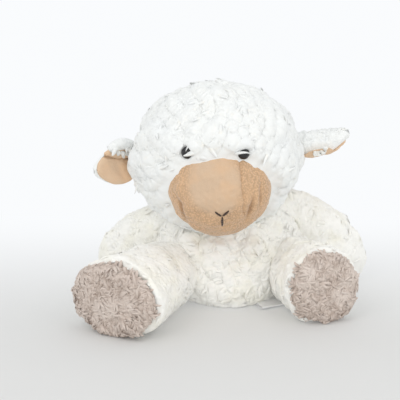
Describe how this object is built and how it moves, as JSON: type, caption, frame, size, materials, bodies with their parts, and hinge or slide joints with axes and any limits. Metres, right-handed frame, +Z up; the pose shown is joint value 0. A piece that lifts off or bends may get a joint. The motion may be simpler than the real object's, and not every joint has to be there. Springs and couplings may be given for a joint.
{
  "type": "plush sheep",
  "caption": "Seated stuffed toy sheep in shaggy fleece with a velour muzzle, plush soles, button eyes and soft jointed head, limbs, ears and tail.",
  "frame": {"origin": "middle of the flat seat that the body rests on", "axes": "+Z up, -Y the way the sheep faces, +X towards its own left side"},
  "size_m": [0.2819, 0.2416, 0.2069],
  "materials": {
    "body_fleece": "long curly cream pile",
    "head_fleece": "curly white pile",
    "velour": "short nubby tan velour",
    "sole_plush": "wavy taupe pile",
    "stuffing": "polyester fibre",
    "pellet_cloth": "plain woven bag",
    "eye": "polished black",
    "washer": "moulded",
    "thread": "satin stitch",
    "ribbon": "blank satin ribbon"
  },
  "bodies": {
    "body": {"body_skin": "body_fleece", "body_stuffing": "stuffing", "pellet_bag": "pellet_cloth", "care_label": "ribbon"},
    "neck": {"neck_stuffing": "stuffing"},
    "head": {"head_skin": "head_fleece", "head_stuffing": "stuffing", "muzzle_skin": "velour", "eye_left": "eye", "eye_right": "eye", "eye_washer_left": "washer", "eye_washer_right": "washer", "nose_stitch_left": "thread", "nose_stitch_right": "thread", "mouth_stitch": "thread"},
    "arm_left": {"arm_skin_left": "body_fleece", "arm_stuffing_left": "stuffing"},
    "arm_right": {"arm_skin_right": "body_fleece", "arm_stuffing_right": "stuffing"},
    "leg_left": {"leg_skin_left": "body_fleece", "leg_stuffing_left": "stuffing", "sole_left": "sole_plush"},
    "leg_right": {"leg_skin_right": "body_fleece", "leg_stuffing_right": "stuffing", "sole_right": "sole_plush"},
    "ear_left": {"ear_back_left": "head_fleece", "ear_lining_left": "velour"},
    "ear_right": {"ear_back_right": "head_fleece", "ear_lining_right": "velour"},
    "tail": {"tail": "body_fleece"}
  },
  "joints": [
    {"name": "head_turn", "type": "hinge", "parent": "body", "child": "neck", "pos_m": [-0.008, -0.012, 0.078], "axis": [0, 0, 1], "range_deg": [-20, 20]},
    {"name": "head_tilt", "type": "hinge", "parent": "neck", "child": "head", "pos_m": [-0.008, -0.012, 0.078], "axis": [-1, 0, 0], "range_deg": [0, 10]},
    {"name": "arm_left_lift", "type": "hinge", "parent": "body", "child": "arm_left", "pos_m": [0.058, 0.014, 0.074], "axis": [0, -1, 0], "range_deg": [0, 40]},
    {"name": "leg_left_lift", "type": "hinge", "parent": "body", "child": "leg_left", "pos_m": [0.062, -0.024, 0.0268], "axis": [-0.9455, -0.3256, 0], "range_deg": [0, 20]},
    {"name": "ear_left_flop", "type": "hinge", "parent": "head", "child": "ear_left", "pos_m": [0.06219, 0.00047, 0.14611], "axis": [-0.1062, -0.9873, -0.1181], "range_deg": [-20, 20], "stiffness_Nm_per_rad": 0.02},
    {"name": "arm_right_lift", "type": "hinge", "parent": "body", "child": "arm_right", "pos_m": [-0.06, 0.014, 0.064], "axis": [0, 1, 0], "range_deg": [0, 40]},
    {"name": "leg_right_lift", "type": "hinge", "parent": "body", "child": "leg_right", "pos_m": [-0.056, -0.036, 0.0268], "axis": [-0.8746, 0.4848, 0], "range_deg": [0, 20]},
    {"name": "ear_right_flop", "type": "hinge", "parent": "head", "child": "ear_right", "pos_m": [-0.08836, 0.00025, 0.13298], "axis": [0.1746, 0.0081, -0.9846], "range_deg": [-20, 20], "stiffness_Nm_per_rad": 0.02},
    {"name": "tail_lift", "type": "hinge", "parent": "body", "child": "tail", "pos_m": [0, 0.06099, 0.042], "axis": [1, 0, 0], "range_deg": [0, 25]}
  ]
}
